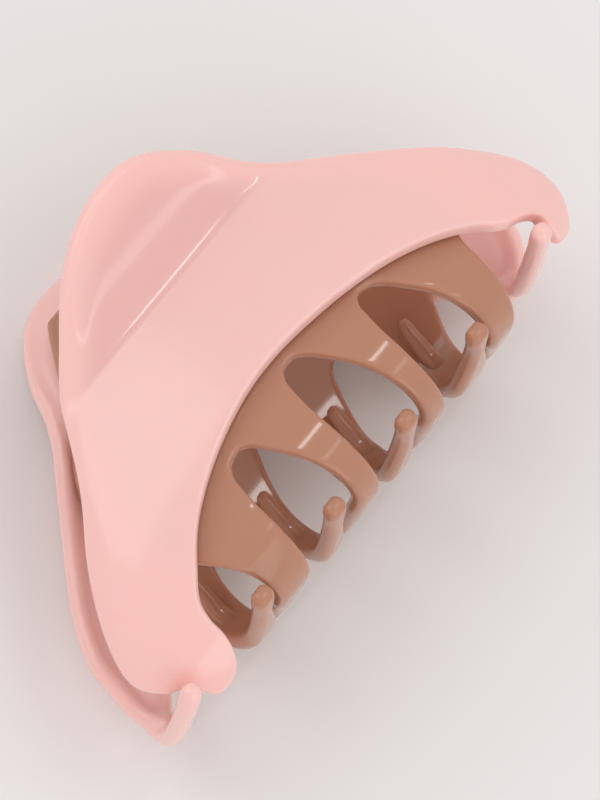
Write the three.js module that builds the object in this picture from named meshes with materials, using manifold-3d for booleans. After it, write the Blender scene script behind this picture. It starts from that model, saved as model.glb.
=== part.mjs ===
// A large two-tone claw clip: two jaws that turn on one pin and are pressed shut by a torsion spring.
//
// Each jaw is an arched outer shell with a splayed thumb tab, lined by a comb with four curled teeth.
// The back jaw is the front one turned half a turn about Y, but its arms end in hooks that close over the other's.
//
// Frame: X runs along the hinge, Y from the teeth to the thumb tabs, Z from the lower jaw to the upper one.
// The jaws are drawn about the plane Z = 0, and the whole clip is lifted at the end to lie on its lower jaw.
import * as THREE from "three";
import { mergeVertices } from "three/addons/utils/BufferGeometryUtils.js";
import Module from "manifold-3d";

// ---- Driving dimensions, in millimetres and degrees ----
const shellThickness = 3.0;
const combThickness = 2.4;
const layerGap = 0.45;

const bellyCrown = 22.4; // height of the belly's highest line above the mid-plane
const bellyCrownY = -23;
const bellyRoll = 0.0066; // how fast the belly falls towards the hinge
const bellySide = 2.75; // how far it falls towards the arms, at 50 mm out
const bellyEnd = 6.7;
const bellyTwist = 1.3;
const tabFoot = 14.65; // height of the thumb tab where it leaves the belly
const tabFootY = 11;
const tabSlope = 0.12;
const tabCurl = 0.0165;
const tabSide = 0.0024;
const rimHeight = 0.9; // raised rim around the thumb tab's dish
const rimWidth = 4.5;
const rollDepth = 1.2; // rounding of the arms' long edge
const rollWidth = 4;

const hingeY = 9.5;
const pinRadius = 1.0;
const pinHeadRadius = 1.7;
const pinHeadLength = 0.9;
const boreRadius = 1.08;
const lugRadius = 3.3;
const lugThickness = 2.8;
const lugInnerX = 7.0; // the two lugs of a jaw start 7.0 mm and 10.1 mm from the middle
const lugOuterX = 10.1;
const lugBaseWidth = 11;
const lugTop = 10.4; // height of the lugs' buried ends above the pin
const pinPlay = 0.4; // end play of the pin outside the outer lug

const toothPitch = 18.2;
const firstToothX = 29.7;
const toothLean = 1.6; // how far a tooth's tip stands to the side of its curl
const toothTipHalfWidth = 1.9;
const curlRadius = 13;
const curlTopY = -20;
const tipReach = 17.5; // how far a tooth's tip stands beyond the mid-plane
const toothThickness = 3.0;
const tipSweep = 1.6; // how far a tooth's tip comes back towards the hinge

const springWire = 1.1;
const springRadius = 2.6;
const springTurns = 5;
const springTurnGap = 0.12;
const springLegLength = 9.5;
const springLegAngle = 57; // between each leg and the mid-plane

// ---- Small helpers ----
const mix = (a, b, t) => a + (b - a) * t;
const clamp01 = (x) => Math.min(1, Math.max(0, x));
const smooth = (x) => clamp01(x) ** 2 * (3 - 2 * clamp01(x));
const smoothMax = (a, b, width) => (a + b + Math.hypot(a - b, width)) / 2;

// A smooth plane curve through the listed points, read by a fraction from 0 to 1 with one step per point.
function curveThrough(points) {
  const curve = new THREE.SplineCurve(points.map(([x, y]) => new THREE.Vector2(x, y)));
  return (fraction) => curve.getPoint(clamp01(fraction));
}

// ---- Outer surface of the upper jaw, as a height over X and Y ----
function bellyHeight(x, y) {
  const out = x / 50;
  const sideFall = bellySide * out ** 2 + bellyEnd * out ** 4 + (bellyTwist * out ** 2 * (y + 15)) / 20;
  return bellyCrown - bellyRoll * (y - bellyCrownY) ** 2 - sideFall;
}

function tabHeight(x, y) {
  const up = Math.max(0, y - tabFootY);
  return tabFoot + tabSlope * up + tabCurl * up ** 2 - tabSide * x ** 2;
}

const crownHeight = (x, y) => smoothMax(bellyHeight(x, y), tabHeight(x, y), 0.6);

// ---- Solids from grids ----
function geometryFrom(vertices, triangles) {
  const geometry = new THREE.BufferGeometry();
  geometry.setAttribute("position", new THREE.Float32BufferAttribute(vertices.flat(), 3));
  geometry.setIndex(triangles.flat());
  return geometry;
}

// A sheet of even or varying thickness over a grid of cells. place(i, k) gives the outer face's point,
// cellExists(i, k) says which cells are there, thickness(i, k) is measured inwards along the normal.
// Every free edge is rounded by a middle line that stands proud of the two faces.
function sheetSolid({ columns, rows, place, cellExists, thickness, edgeInset }) {
  const at = (i, k) => k * (columns + 1) + i;
  const outer = [];
  const inner = [];
  const outward = [];
  for (let k = 0; k <= rows; k += 1) {
    for (let i = 0; i <= columns; i += 1) outer.push(place(i, k));
  }
  for (let k = 0; k <= rows; k += 1) {
    for (let i = 0; i <= columns; i += 1) {
      const alongX = outer[at(Math.min(i + 1, columns), k)].clone().sub(outer[at(Math.max(i - 1, 0), k)]);
      const alongY = outer[at(i, Math.min(k + 1, rows))].clone().sub(outer[at(i, Math.max(k - 1, 0))]);
      const normal = alongY.cross(alongX).normalize();
      inner.push(outer[at(i, k)].clone().addScaledVector(normal, -thickness(i, k)));
      outward.push(new THREE.Vector3());
    }
  }
  const exists = (i, k) => i >= 0 && k >= 0 && i < columns && k < rows && cellExists(i, k);
  // Free edges, walked so that the sheet lies on their left as seen from outside.
  const freeEdges = [];
  for (let k = 0; k < rows; k += 1) {
    for (let i = 0; i < columns; i += 1) {
      if (!exists(i, k)) continue;
      const corners = [at(i, k), at(i + 1, k), at(i + 1, k + 1), at(i, k + 1)];
      const neighbours = [exists(i, k - 1), exists(i + 1, k), exists(i, k + 1), exists(i - 1, k)];
      neighbours.forEach((present, side) => {
        if (!present) freeEdges.push([corners[side], corners[(side + 1) % 4]]);
      });
    }
  }
  for (const [a, b] of freeEdges) {
    const along = outer[b].clone().sub(outer[a]).normalize();
    const up = outer[a].clone().sub(inner[a]).normalize();
    const away = up.cross(along).normalize();
    outward[a].add(away);
    outward[b].add(away);
  }
  const vertices = [];
  const outerIndex = new Map();
  const innerIndex = new Map();
  const middleIndex = new Map();
  const add = (map, key, point) => {
    if (!map.has(key)) {
      map.set(key, vertices.length);
      vertices.push([point.x, point.y, point.z]);
    }
    return map.get(key);
  };
  const shifted = (point, key, share) => {
    const step = outward[key].lengthSq() > 0 ? outward[key].clone().normalize() : outward[key];
    return point.clone().addScaledVector(step, share * edgeInset);
  };
  const outerVertex = (key) => add(outerIndex, key, shifted(outer[key], key, -1));
  const innerVertex = (key) => add(innerIndex, key, shifted(inner[key], key, -1));
  const middleVertex = (key) => add(middleIndex, key, outer[key].clone().lerp(inner[key], 0.5));
  const triangles = [];
  for (let k = 0; k < rows; k += 1) {
    for (let i = 0; i < columns; i += 1) {
      if (!exists(i, k)) continue;
      const [a, b, c, d] = [at(i, k), at(i + 1, k), at(i + 1, k + 1), at(i, k + 1)];
      const [oa, ob, oc, od] = [a, b, c, d].map(outerVertex);
      const [na, nb, nc, nd] = [a, b, c, d].map(innerVertex);
      triangles.push([oa, oc, ob], [oa, od, oc], [na, nb, nc], [na, nc, nd]);
    }
  }
  for (const [a, b] of freeEdges) {
    const [oa, ob, ma, mb, na, nb] = [
      outerVertex(a), outerVertex(b), middleVertex(a), middleVertex(b), innerVertex(a), innerVertex(b),
    ];
    triangles.push([oa, ob, mb], [oa, mb, ma], [ma, mb, nb], [ma, nb, na]);
  }
  return geometryFrom(vertices, triangles);
}

// A limb of rounded section through stations [x, y, z, width, depth]. Width is along X, depth across it.
// Both ends are rounded off.
function limbSolid(stations, sides = 10) {
  const centres = stations.map(([x, y, z]) => new THREE.Vector3(x, y, z));
  const vertices = [];
  const triangles = [];
  const ring = (centre, across, width, depth) => {
    for (let s = 0; s < sides; s += 1) {
      const angle = (2 * Math.PI * s) / sides;
      const square = (value) => Math.sign(value) * Math.abs(value) ** 0.7;
      const point = centre.clone();
      point.x += (square(Math.cos(angle)) * width) / 2;
      point.addScaledVector(across, (square(Math.sin(angle)) * depth) / 2);
      vertices.push([point.x, point.y, point.z]);
    }
  };
  const sideways = new THREE.Vector3(1, 0, 0);
  const directions = centres.map((centre, n) => {
    const before = centres[Math.max(n - 1, 0)];
    const after = centres[Math.min(n + 1, centres.length - 1)];
    return after.clone().sub(before).normalize();
  });
  const acrossAt = directions.map((direction) => direction.clone().cross(sideways).normalize());
  const roundEnd = (n, sign) => {
    const [, , , width, depth] = stations[n];
    const radius = Math.min(width, depth) / 2;
    const caps = sign < 0 ? [0.95, 0.6] : [0.6, 0.95];
    for (const reach of caps) {
      const shrink = Math.sqrt(1 - reach ** 2);
      const centre = centres[n].clone().addScaledVector(directions[n], sign * reach * radius);
      ring(centre, acrossAt[n], width * shrink, depth * shrink);
    }
  };
  roundEnd(0, -1);
  stations.forEach(([, , , width, depth], n) => ring(centres[n], acrossAt[n], width, depth));
  roundEnd(stations.length - 1, 1);
  const rings = vertices.length / sides;
  for (let r = 0; r < rings - 1; r += 1) {
    for (let s = 0; s < sides; s += 1) {
      const a = r * sides + s;
      const b = r * sides + ((s + 1) % sides);
      triangles.push([a, b, b + sides], [a, b + sides, a + sides]);
    }
  }
  for (let s = 1; s < sides - 1; s += 1) {
    triangles.push([0, s + 1, s]);
    const top = (rings - 1) * sides;
    triangles.push([top, top + s, top + s + 1]);
  }
  return geometryFrom(vertices, triangles);
}

// ---- Joins and cuts ----
const manifoldLibrary = await Module();
manifoldLibrary.setup();

function toSolid(geometry) {
  let plain = geometry.clone();
  plain.deleteAttribute("normal");
  plain.deleteAttribute("uv");
  plain = mergeVertices(plain, 1e-4);
  const mesh = new manifoldLibrary.Mesh({
    numProp: 3,
    vertProperties: new Float32Array(plain.attributes.position.array),
    triVerts: new Uint32Array(plain.index.array),
  });
  return new manifoldLibrary.Manifold(mesh);
}

function toGeometry(solid) {
  const mesh = solid.getMesh();
  const geometry = new THREE.BufferGeometry();
  geometry.setAttribute("position", new THREE.Float32BufferAttribute(mesh.vertProperties, 3));
  geometry.setIndex(new THREE.Uint32BufferAttribute(mesh.triVerts, 1));
  return geometry;
}

// One solid of all the geometries. Slivers up to sliverSize, left where they cross, are closed up.
function joined(geometries, sliverSize) {
  const whole = geometries.map(toSolid).reduce((all, next) => all.add(next));
  return whole.simplify(sliverSize);
}

// ---- Outer shells ----
// Middle stretches of the shell's three lines: its lower edge, the crease below the thumb tab, its upper edge.
const lowerMiddle = [
  [-38.9, -23.2], [-35.4, -19.8], [-30, -15.7], [-23.5, -12.5], [-16, -10.0], [-8, -8.4], [0, -8.1], [8, -9.0],
  [16, -10.5], [23.5, -12.7], [30, -15.5], [35.8, -19.1], [39.4, -22.6],
];
const creaseMiddle = [
  [-45.0, -14.2], [-40.0, -6.5], [-34.0, 0.6], [-29.0, 6.6], [-23.5, 11.0], [-11, 11.3], [0, 11.3], [10.5, 11.3],
  [20.5, 11.3], [27.6, 6.4], [34.5, -0.3], [41.5, -7.6], [46.0, -14.4],
];
const upperMiddle = [
  [-51.0, -14.4], [-45.0, -6.6], [-37.2, 1.0], [-29.9, 9.2], [-22.0, 16.7], [-11.6, 24.3], [-1.6, 28.1],
  [9.2, 28.1], [17.8, 22.2], [23.8, 14.0], [35.2, 3.5], [44.8, -5.8], [50.4, -13.4],
];

// The arms of the front shell end blunt, and leave room for the hooks that pass beside them.
const frontArms = {
  lower: {
    left: [[-43.2, -34.4], [-41.4, -33.6], [-40.2, -31.4], [-40.2, -27.4]],
    right: [[43.4, -25.2], [45.7, -27.6], [47.2, -31.0]],
  },
  crease: {
    left: [[-45.2, -34.0], [-45.6, -32.4], [-46.6, -29.2], [-47.6, -22.8]],
    right: [[48.0, -20.0], [48.8, -25.2], [49.0, -30.8]],
  },
  upper: {
    left: [[-47.2, -33.0], [-48.2, -30.2], [-52.6, -28.0], [-54.4, -22.0]],
    right: [[52.4, -19.0], [52.5, -25.2], [50.9, -30.3]],
  },
};

// The arms of the back shell are narrower at their ends, where they run into the hooks.
const backArms = {
  lower: {
    left: [[-41.0, -29.0], [-39.8, -27.6], [-39.6, -25.4]],
    right: [[42.6, -25.6], [46.4, -28.8], [49.4, -31.6]],
  },
  crease: {
    left: [[-43.4, -29.0], [-45.2, -26.4], [-46.0, -20.8]],
    right: [[48.2, -20.4], [50.2, -26.0], [51.0, -31.4]],
  },
  upper: {
    left: [[-45.6, -28.6], [-49.6, -25.2], [-51.9, -20.4]],
    right: [[52.0, -18.8], [53.2, -25.2], [52.6, -31.0]],
  },
};

const shellColumns = 54;
const bellyRows = [0, 0.08, 0.3, 0.55, 0.8, 0.93, 1];
const tabRows = [0.12, 0.34, 0.55, 0.73, 0.88, 1];
const shellRows = bellyRows.length + tabRows.length - 1;

function makeShell(arms, hooks) {
  const line = (ends, middle) => curveThrough([...ends.left, ...middle, ...ends.right]);
  const lowerEdge = line(arms.lower, lowerMiddle);
  const creaseLine = line(arms.crease, creaseMiddle);
  const upperEdge = line(arms.upper, upperMiddle);
  const place = (i, rowFromTop) => {
    const k = shellRows - rowFromTop;
    const fraction = i / shellColumns;
    const crease = creaseLine(fraction);
    const upper = upperEdge(fraction);
    const point = new THREE.Vector2();
    if (k < bellyRows.length) point.lerpVectors(lowerEdge(fraction), crease, bellyRows[k]);
    else point.lerpVectors(crease, upper, tabRows[k - bellyRows.length]);
    const edgeDistance = point.distanceTo(upper);
    const inTab = smooth((crease.distanceTo(upper) - 4) / 8);
    const rim = inTab * rimHeight * smooth(1 - edgeDistance / rimWidth);
    const roll = rollDepth * clamp01(1 - edgeDistance / rollWidth) ** 2;
    return new THREE.Vector3(point.x, point.y, crownHeight(point.x, point.y) + rim - roll);
  };
  const sheet = sheetSolid({
    columns: shellColumns,
    rows: shellRows,
    place,
    cellExists: () => true,
    thickness: () => shellThickness,
    edgeInset: 0.9,
  });
  return toGeometry(joined([sheet, ...hooks], 0.08));
}

// The hooks at the ends of the back shell's arms, in that jaw's own frame: stations [x, y, z, width, depth]
// from inside the arm, round its end and straight across to the other jaw.
const rightHook = [
  [50.4, -26.0, 10.6, 3.6, 2.2], [50.8, -29.2, 9.4, 4.6, 3.2], [51.4, -31.2, 6.4, 4.6, 3.4],
  [51.8, -31.8, 2.0, 4.2, 3.4], [51.8, -31.8, -4.0, 3.8, 3.4], [51.3, -31.6, -11.0, 3.6, 3.3],
  [50.6, -31.0, -16.2, 3.8, 3.6],
];
const leftHook = [
  [-43.4, -24.6, 12.8, 3.6, 2.2], [-43.2, -27.2, 11.4, 4.6, 3.2], [-42.8, -28.8, 7.6, 4.6, 3.4],
  [-42.4, -29.0, 2.0, 4.2, 3.4], [-42.3, -28.9, -4.0, 3.8, 3.4], [-42.4, -28.6, -11.0, 3.6, 3.3],
  [-42.6, -28.0, -16.2, 3.8, 3.6],
];

// ---- Comb ----
// The comb is one sheet. Its columns run across the jaw: three cells to a tooth, and one cell to each gap.
const toothCount = 4;
const cellsPerTooth = 3;
const combColumns = toothCount * (cellsPerTooth + 1);
const toothCentre = (tooth) => firstToothX - (toothCount - 1 - tooth) * toothPitch;
// Tops of the gaps, left to right. The first one lies beside the last tooth, under the left arm.
const gapTops = [[-36.4, -18.0], [-17.0, -13.2], [0.3, -10.2], [17.4, -12.1]];
// How far a gap's two sides stand from its top, against the depth below it.
const gapSides = curveThrough([
  [-0.9, 0.9], [-1.5, 1.6], [-2.5, 3.0], [-3.3, 4.6], [-3.8, 6.2], [-4.0, 7.5], [-3.9, 8.3], [-3.6, 8.8],
  [-3.1, 9.2], [-2.6, 9.4],
]);
// The first gap starts lower down, so its side swings out later.
const firstGapSide = curveThrough(
  [0.9, 1.0, 1.2, 1.4, 1.6, 2.0, 5.6, 8.1, 9.0, 9.4].map((side) => [0, side]),
);
const gapDepths = [0, 0.08, 0.23, 0.47, 0.75, 1];
const curlAngles = [22, 45, 67, 90];
const gapRows = gapDepths.length + curlAngles.length;
const shankReaches = [0, -6, -12, -tipReach + 1.4, -tipReach];
const liningRows = [1, 0.86, 0.74, 0.66, 0.6, 0.52, 0.36, 0.18, 0.06];
const combRows = liningRows.length + gapDepths.length + curlAngles.length + shankReaches.length - 1;
const combTopY = 24.8;
const combEndX = 35.2; // right-hand end of the comb, straight down to the last tooth
const combEndTaper = 2.6;
const combEndTopY = -17; // where the comb's lower edge would be at its right-hand end
// Half-width of the lining against Y.
const liningHalfWidths = [[24.8, 9.5], [18, 15], [12, 20.5], [6, 27], [-2, 32.5], [-10, 35.5], [-20, 36.2]];

function liningHalfWidth(y) {
  const above = liningHalfWidths.findIndex(([level]) => level <= y);
  if (above <= 0) return liningHalfWidths[above === 0 ? 0 : liningHalfWidths.length - 1][1];
  const [highY, highWidth] = liningHalfWidths[above - 1];
  const [lowY, lowWidth] = liningHalfWidths[above];
  return mix(lowWidth, highWidth, (y - lowY) / (highY - lowY));
}

const combDrop = shellThickness + layerGap;

function combHeight(x, y) {
  const step = 0.2;
  const slopeX = (crownHeight(x + step, y) - crownHeight(x - step, y)) / (2 * step);
  const slopeY = (crownHeight(x, y + step) - crownHeight(x, y - step)) / (2 * step);
  return crownHeight(x, y) - combDrop * Math.hypot(1, slopeX, slopeY);
}

// The outer line of a tooth in the Y-Z plane below the top of its curl.
function curlPoint(x, angleDegrees) {
  const angle = (angleDegrees * Math.PI) / 180;
  const topHeight = combHeight(x, curlTopY);
  return [curlTopY - curlRadius * Math.sin(angle), topHeight - curlRadius * (1 - Math.cos(angle))];
}

function shankPoint(x, reach) {
  const [bottomY, bottomZ] = curlPoint(x, 90);
  const share = clamp01((bottomZ - reach) / (bottomZ + tipReach));
  return [bottomY + tipSweep * share ** 2, reach];
}

// Edges of the teeth across X at one row: how far down the gap, and how far towards the tip.
function toothEdges(gapShare, tipShare) {
  const { x: gapLeft, y: gapRight } = gapSides(gapShare);
  return Array.from({ length: toothCount }, (_, tooth) => {
    const tip = toothCentre(tooth) + toothLean;
    const left = gapTops[tooth][0] + (tooth === 0 ? firstGapSide(gapShare).y : gapRight);
    const isLast = tooth + 1 === toothCount;
    const right = isLast ? combEndX - combEndTaper * gapShare : gapTops[tooth + 1][0] + gapLeft;
    return [mix(left, tip - toothTipHalfWidth, tipShare), mix(right, tip + toothTipHalfWidth, tipShare)];
  });
}

function combPoint(i, k) {
  const tooth = Math.max(0, Math.floor((i - 1) / (cellsPerTooth + 1)));
  const lane = i - 1 - tooth * (cellsPerTooth + 1);
  const gapRow = k - liningRows.length;
  const curlRow = gapRow - gapDepths.length;
  const shankRow = curlRow - curlAngles.length;
  const gapShare = clamp01(gapRow / (gapRows - 1));
  const tipShare = smooth((shankRow + 1) / 3.5);
  const edges = toothEdges(gapShare, tipShare);
  const x = i === 0 ? edges[0][0] - 2 : mix(edges[tooth][0], edges[tooth][1], lane / cellsPerTooth);
  if (gapRow < 0) {
    const y = mix(gapTopY(x), combTopY, liningRows[k]);
    const evenX = mix(-1, 1, i / combColumns) * liningHalfWidth(y);
    const liningX = mix(x, evenX, smooth(liningRows[k] / 0.25));
    return new THREE.Vector3(liningX, y, combHeight(liningX, y));
  }
  if (curlRow < 0) {
    const y = mix(gapTopY(x), curlTopY, gapDepths[gapRow]);
    return new THREE.Vector3(x, y, combHeight(x, y));
  }
  const [y, z] = shankRow < 0 ? curlPoint(x, curlAngles[curlRow]) : shankPoint(x, shankReaches[shankRow]);
  return new THREE.Vector3(x, y, z);
}

function gapTopY(x) {
  if (x <= gapTops[0][0]) return gapTops[0][1];
  for (let gap = 1; gap < gapTops.length; gap += 1) {
    const [lowX, lowY] = gapTops[gap - 1];
    const [highX, highY] = gapTops[gap];
    if (x <= highX) return mix(lowY, highY, (x - lowX) / (highX - lowX));
  }
  const [lastX, lastY] = gapTops[gapTops.length - 1];
  return mix(lastY, combEndTopY, clamp01((x - lastX) / (combEndX - lastX)));
}

function combCellExists(i, k) {
  const isGap = i % (cellsPerTooth + 1) === 0;
  return !isGap || k < liningRows.length;
}

function combToothThickness(i, k) {
  const along = clamp01((k - liningRows.length - gapDepths.length + 2) / 5);
  return mix(combThickness, toothThickness, along);
}

function makeCombSheet() {
  return sheetSolid({
    columns: combColumns,
    rows: combRows,
    place: combPoint,
    cellExists: combCellExists,
    thickness: combToothThickness,
    edgeInset: 0.7,
  });
}

// A hinge lug: a plate across X that hangs from the comb's inner face and holds the pin.
function makeLug(fromX) {
  const outline = new THREE.Shape();
  outline.moveTo(-lugBaseWidth / 2, lugTop);
  outline.lineTo(-lugRadius, 0);
  outline.absarc(0, 0, lugRadius, Math.PI, 2 * Math.PI, false);
  outline.lineTo(lugBaseWidth / 2, lugTop);
  outline.closePath();
  const bore = new THREE.Path();
  bore.absarc(0, 0, boreRadius, 0, 2 * Math.PI, true);
  outline.holes.push(bore);
  const lug = new THREE.ExtrudeGeometry(outline, { depth: lugThickness, bevelEnabled: false, curveSegments: 12 });
  // The outline's X and Y become Y and Z, and its depth runs along X.
  lug.applyMatrix4(new THREE.Matrix4().set(0, 0, 1, fromX, 1, 0, 0, hingeY, 0, 1, 0, 0, 0, 0, 0, 1));
  return lug;
}

// The short finger on each tooth's inner face, which points towards the hinge.
function makeFinger(tooth) {
  const x = toothCentre(tooth) - 0.3;
  const face = combHeight(x, -22) - combThickness;
  return limbSolid([
    [x, -28.4, face - 2.7, 3.2, 2.0], [x, -26, face - 1.9, 3.4, 2.2], [x, -24, face - 1.8, 3.3, 2.2],
    [x - 0.4, -21.5, face - 2.5, 2.9, 2.1], [x - 0.9, -18.4, face - 3.6, 2.4, 2.0],
  ], 8);
}

function makeComb() {
  const fingers = Array.from({ length: toothCount }, (_, tooth) => makeFinger(tooth));
  const lugs = [makeLug(lugOuterX), makeLug(-lugInnerX - lugThickness)];
  return toGeometry(joined([makeCombSheet(), ...fingers, ...lugs], 0.03));
}

// ---- Hinge pin ----
function makePin() {
  const half = lugOuterX + lugThickness + pinPlay;
  const end = half + pinHeadLength;
  const profile = [
    [0, -end], [pinHeadRadius * 0.7, -end], [pinHeadRadius, -end + 0.35], [pinHeadRadius, -half],
    [pinRadius, -half], [pinRadius, half], [pinHeadRadius, half], [pinHeadRadius, end - 0.35],
    [pinHeadRadius * 0.7, end], [0, end],
  ];
  const pin = new THREE.LatheGeometry(profile.map(([x, y]) => new THREE.Vector2(x, y)), 20);
  return pin.rotateZ(Math.PI / 2);
}

// ---- Torsion spring ----
// Close turns around the pin, and two legs that lean on the inner faces of the two thumb tabs.
class SpringPath extends THREE.Curve {
  constructor() {
    super();
    this.coilShare = 0.72;
    this.legAngle = (springLegAngle * Math.PI) / 180;
  }

  getPoint(t, target = new THREE.Vector3()) {
    const legShare = (1 - this.coilShare) / 2;
    const coilT = (t - legShare) / this.coilShare;
    const halfTurns = Math.PI * springTurns;
    const pitch = springWire + springTurnGap;
    const start = Math.PI / 2 - this.legAngle;
    const angleAt = (share) => start + mix(0, 2 * halfTurns + 2 * this.legAngle - Math.PI, share);
    const clamped = clamp01(coilT);
    const angle = angleAt(clamped);
    const x = (clamped - 0.5) * pitch * (angleAt(1) - angleAt(0)) / (2 * Math.PI);
    target.set(x, hingeY + springRadius * Math.cos(angle), springRadius * Math.sin(angle));
    const beyond = coilT < 0 ? -coilT : Math.max(0, coilT - 1);
    const reach = (beyond * this.coilShare * springLegLength) / legShare;
    const turn = coilT < 0 ? -1 : 1;
    target.y += -turn * Math.sin(angle) * reach;
    target.z += turn * Math.cos(angle) * reach;
    return target;
  }
}

function makeSpring() {
  const section = new THREE.Shape();
  section.absarc(0, 0, springWire / 2, 0, 2 * Math.PI, false);
  return new THREE.ExtrudeGeometry(section, {
    steps: 110,
    curveSegments: 4,
    bevelEnabled: false,
    extrudePath: new SpringPath(),
  });
}

// ---- Assembly ----
const pinkPlastic = new THREE.MeshStandardMaterial({ color: 0xf7ccc6, roughness: 0.16, metalness: 0 });
const brownPlastic = new THREE.MeshStandardMaterial({ color: 0xb28269, roughness: 0.14, metalness: 0 });
const springSteel = new THREE.MeshStandardMaterial({ color: 0xb9b9b6, roughness: 0.3, metalness: 1 });

const clip = new THREE.Group();

function addPiece(name, geometry, material, turned = false) {
  const mesh = new THREE.Mesh(geometry, material);
  mesh.name = name;
  if (turned) mesh.rotation.y = Math.PI;
  clip.add(mesh);
}

const comb = makeComb();
addPiece("front_shell", makeShell(frontArms, []), pinkPlastic);
addPiece("front_comb", comb, brownPlastic);
addPiece("back_shell", makeShell(backArms, [limbSolid(rightHook), limbSolid(leftHook)]), pinkPlastic, true);
addPiece("back_comb", comb, brownPlastic, true);
addPiece("hinge_pin", makePin().translate(0, hingeY, 0), springSteel);
addPiece("torsion_spring", makeSpring(), springSteel);

clip.updateMatrixWorld(true);
const bounds = new THREE.Box3().setFromObject(clip, true);
const middle = bounds.getCenter(new THREE.Vector3());
clip.position.set(-middle.x, -middle.y, -bounds.min.z);

export default clip;
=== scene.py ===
"""Looks of a large two-tone claw clip: glossy shells, lining combs, steel pin and spring.

Every piece is built in the clip's own frame, in millimetres: X along the hinge, Y from the teeth to the
thumb tabs, Z from the back jaw to the front jaw. The back jaw is the front one turned half a turn about Y.
"""
import math

import bmesh
import bpy
import numpy as np
from mathutils import Matrix, Vector


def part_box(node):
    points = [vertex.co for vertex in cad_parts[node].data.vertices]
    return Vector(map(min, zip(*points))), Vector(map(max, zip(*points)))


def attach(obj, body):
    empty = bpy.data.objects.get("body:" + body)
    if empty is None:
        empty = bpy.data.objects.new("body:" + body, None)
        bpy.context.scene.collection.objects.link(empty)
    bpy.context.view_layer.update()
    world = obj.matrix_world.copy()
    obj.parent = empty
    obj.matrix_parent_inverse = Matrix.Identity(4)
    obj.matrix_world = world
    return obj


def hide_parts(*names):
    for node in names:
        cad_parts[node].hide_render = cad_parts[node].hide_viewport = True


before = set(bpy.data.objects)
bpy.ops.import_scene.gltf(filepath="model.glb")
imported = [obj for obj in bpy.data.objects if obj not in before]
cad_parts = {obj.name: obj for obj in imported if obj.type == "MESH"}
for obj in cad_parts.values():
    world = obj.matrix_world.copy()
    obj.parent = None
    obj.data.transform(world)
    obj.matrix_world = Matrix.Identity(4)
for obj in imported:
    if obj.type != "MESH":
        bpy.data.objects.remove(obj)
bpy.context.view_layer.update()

MM = 0.001

# ---- Sizes, as in the CAD model ----
HINGE_Y = 9.5
SHELL_THICKNESS = 3.0
COMB_THICKNESS = 2.4
TOOTH_THICKNESS = 3.0
LAYER_GAP = 0.45

BELLY_CROWN = 22.4
BELLY_CROWN_Y = -23
BELLY_ROLL = 0.0066
BELLY_SIDE = 2.75
BELLY_END = 6.7
BELLY_TWIST = 1.3
BELLY_TWIST_Y = -15
BELLY_TWIST_RUN = 20
BELLY_HALF_SPAN = 50
TAB_FOOT = 14.65
TAB_FOOT_Y = 11
TAB_SLOPE = 0.12
TAB_CURL = 0.0165
TAB_SIDE = 0.0024
RIM_HEIGHT = 1.1
RIM_WIDTH = 5
CREASE_WIDTH = 0.5
ROLL_DEPTH = 1.2
ROLL_WIDTH = 4

TOOTH_PITCH = 18.2
FIRST_TOOTH_X = 29.7
TOOTH_LEAN = 1.6
TIP_HALF_WIDTH = 2.15
CURL_RADIUS = 13
CURL_TOP_Y = -20
TIP_REACH = 17.5
TIP_SWEEP = 1.6

PIN_RADIUS = 1.0
PIN_HEAD_RADIUS = 1.7
PIN_HEAD_LENGTH = 0.9
PIN_DOME = [(0.25, 0), (0.65, 0.06), (0.88, 0.25), (1, 0.6)] # shares of the head's radius and length
PIN_PLAY = 0.4
BORE_RADIUS = 1.08
LUG_RADIUS = 3.3
LUG_THICKNESS = 2.8
LUG_INNER_X = 7.0
LUG_OUTER_X = 10.1
LUG_BASE_WIDTH = 11
LUG_TOP = 10.4
LUG_EDGE = 0.25
LUG_EDGE_SEGMENTS = 3

SPRING_WIRE = 1.1
SPRING_RADIUS = 2.6
SPRING_TURNS = 5
SPRING_TURN_GAP = 0.12
SPRING_LEG_LENGTH = 9.5
SPRING_LEG_ANGLE = math.radians(57)
COIL_STEPS_PER_TURN = 48

FUSE_CELL = 0.42 # how finely the back shell and its hooks are joined into one skin
FUSE_SMOOTHING = 10
SUBDIVISIONS = 2

# The pin lies on the hinge axis and is centred on the clip's own X = 0.
pin_low, pin_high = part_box("hinge_pin")
CLIP_ORIGIN = (pin_low + pin_high) / 2 - Vector((0, HINGE_Y * MM, 0))
HALF_TURN = Matrix.Rotation(math.pi, 4, "Y")


# ---- Small helpers ----
def mix(a, b, t):
    return a + (b - a) * t


def clamp01(x):
    return min(1.0, max(0.0, x))


def smooth(x):
    return clamp01(x) ** 2 * (3 - 2 * clamp01(x))


def smooth_max(a, b, width):
    return (a + b + math.hypot(a - b, width)) / 2


def curve_through(points):
    """A smooth plane curve through the points, read by a fraction from 0 to 1 with one step per point."""
    table = np.array(points, float)
    last = len(table) - 1

    def at(fraction):
        place = clamp01(fraction) * last
        step = min(int(place), last - 1)
        t = place - step
        p0, p1, p2, p3 = (table[min(max(step + n, 0), last)] for n in (-1, 0, 1, 2))
        v1 = (p2 - p0) / 2
        v2 = (p3 - p1) / 2
        return (2 * p1 - 2 * p2 + v1 + v2) * t**3 + (-3 * p1 + 3 * p2 - 2 * v1 - v2) * t**2 + v1 * t + p1

    return at


def shade_smooth(mesh):
    mesh.polygons.foreach_set("use_smooth", [True] * len(mesh.polygons))


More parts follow.
